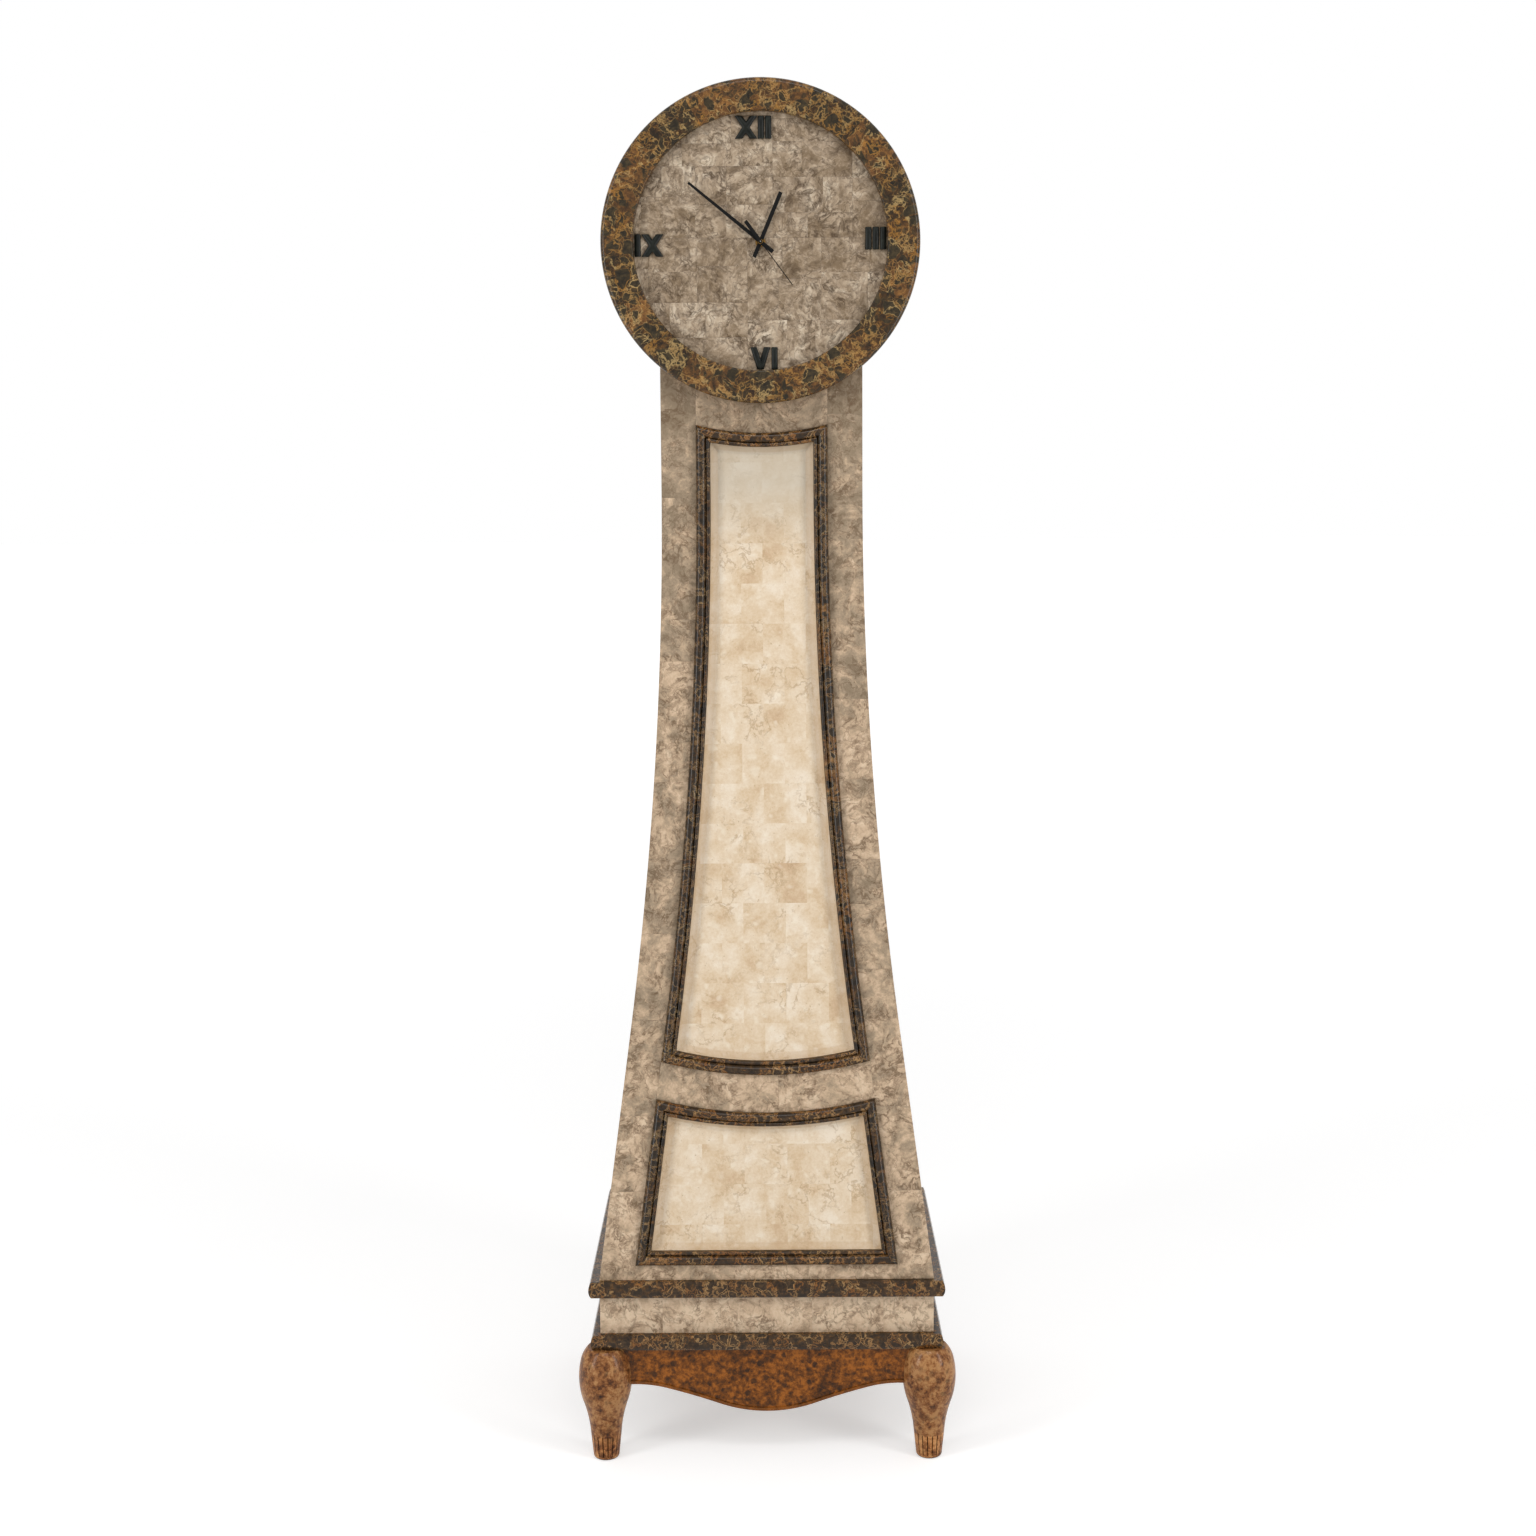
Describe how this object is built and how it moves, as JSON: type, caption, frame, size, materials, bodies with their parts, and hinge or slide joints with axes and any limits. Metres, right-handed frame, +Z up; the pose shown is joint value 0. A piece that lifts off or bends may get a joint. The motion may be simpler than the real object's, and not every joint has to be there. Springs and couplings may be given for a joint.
{
  "type": "floor clock",
  "caption": "Floor clock with a round marble-ringed head on a flared stone-faced trunk, sunk cream panels in dark moulded frames, a moulded base and bulbous reeded legs.",
  "frame": {"origin": "on the floor, under the middle of the clock's overall box", "axes": "+Z up, the dial faces -Y, +X to the right as seen from the front"},
  "size_m": [0.5516, 0.4316, 1.981],
  "materials": {
    "walnut_burl": "gloss lacquered burl, copper brown with dark blotches",
    "carcass_wood": "sawn and sealed board",
    "grey_beige_stone": "honed and waxed stone tiles with fine veins",
    "cream_marble": "honed cream marble",
    "dark_marble": "polished dark brown marble with amber veins",
    "dial_travertine": "honed grey-beige stone tiles with swirling veins",
    "black_stone": "polished near-black green stone",
    "black_plastic": "moulded black",
    "white_nylon": "moulded natural nylon",
    "steel": "zinc plated",
    "brass": "aged satin brass",
    "black_metal": "satin black paint"
  },
  "bodies": {
    "case": {"leg_front_left": "walnut_burl", "leg_front_right": "walnut_burl", "leg_rear_left": "walnut_burl", "leg_rear_right": "walnut_burl", "apron_front": "walnut_burl", "apron_rear": "walnut_burl", "apron_sides": "walnut_burl", "base_boards": "carcass_wood", "base_framing": "carcass_wood", "trunk_board_front": "carcass_wood", "trunk_board_left": "carcass_wood", "trunk_board_right": "carcass_wood", "trunk_board_back": "carcass_wood", "trunk_framing": "carcass_wood", "head_drum": "carcass_wood", "dial_board": "carcass_wood", "head_cradles": "carcass_wood", "head_back": "carcass_wood", "frieze_stone": "grey_beige_stone", "trunk_stone_front": "grey_beige_stone", "trunk_stone_sides": "grey_beige_stone", "head_stone": "grey_beige_stone", "upper_panel": "cream_marble", "lower_panel": "cream_marble", "lower_moulding_front": "dark_marble", "lower_moulding_sides": "dark_marble", "upper_moulding_front": "dark_marble", "upper_moulding_sides": "dark_marble", "upper_frame_top": "dark_marble", "upper_frame_foot": "dark_marble", "upper_frame_sides": "dark_marble", "lower_frame_top": "dark_marble", "lower_frame_foot": "dark_marble", "lower_frame_sides": "dark_marble", "dial_ring": "dark_marble", "dial_stone": "dial_travertine", "numeral_twelve": "black_stone", "numeral_three": "black_stone", "numeral_six": "black_stone", "numeral_nine": "black_stone", "movement_case": "black_plastic", "movement_plates": "black_plastic", "leg_bolts": "steel", "movement_electrics": "steel", "battery": "steel", "hinge_case_leaves": "brass", "fixing_nut": "brass"},
    "minute_train": {"hand_cap": "brass", "centre_wheel": "white_nylon", "minute_hand": "black_metal"},
    "hour_train": {"hour_wheel": "white_nylon", "hour_hand": "black_metal"},
    "second_train": {"second_wheel": "white_nylon", "second_hand": "black_metal"},
    "third_train": {"third_wheel": "white_nylon"},
    "motion_train": {"minute_wheel": "white_nylon"},
    "setting_train": {"setting_knob": "white_nylon"},
    "service_door": {"service_door": "carcass_wood", "hinge_door_leaves": "brass", "door_knob": "brass"}
  },
  "joints": [
    {"name": "minute_hand_turn", "type": "hinge", "parent": "case", "child": "minute_train", "pos_m": [0, -0.098, 1.757], "axis": [0, 1, 0], "continuous": true},
    {"name": "hour_hand_turn", "type": "hinge", "parent": "case", "child": "hour_train", "pos_m": [0, -0.098, 1.757], "axis": [0, 1, 0], "continuous": true},
    {"name": "second_hand_turn", "type": "hinge", "parent": "case", "child": "second_train", "pos_m": [0, -0.098, 1.757], "axis": [0, 1, 0], "continuous": true},
    {"name": "third_wheel_turn", "type": "hinge", "parent": "case", "child": "third_train", "pos_m": [-0.00834, -0.098, 1.76037], "axis": [0, 1, 0], "continuous": true},
    {"name": "minute_wheel_turn", "type": "hinge", "parent": "case", "child": "motion_train", "pos_m": [0.00685, -0.098, 1.75846], "axis": [0, 1, 0], "continuous": true},
    {"name": "setting_knob_turn", "type": "hinge", "parent": "case", "child": "setting_train", "pos_m": [0.01369, -0.098, 1.75991], "axis": [0, 1, 0], "continuous": true},
    {"name": "service_door_swing", "type": "hinge", "parent": "case", "child": "service_door", "pos_m": [-0.085, 0.203, 1.757], "axis": [0, 0, 1], "range_deg": [0, 105]}
  ],
  "couplings": [
    {"joint": "hour_hand_turn", "follows": "minute_hand_turn", "ratio": 0.083333},
    {"joint": "second_hand_turn", "follows": "minute_hand_turn", "ratio": 60},
    {"joint": "third_wheel_turn", "follows": "minute_hand_turn", "ratio": -8},
    {"joint": "minute_wheel_turn", "follows": "minute_hand_turn", "ratio": -0.33333},
    {"joint": "setting_knob_turn", "follows": "minute_hand_turn", "ratio": 1}
  ]
}
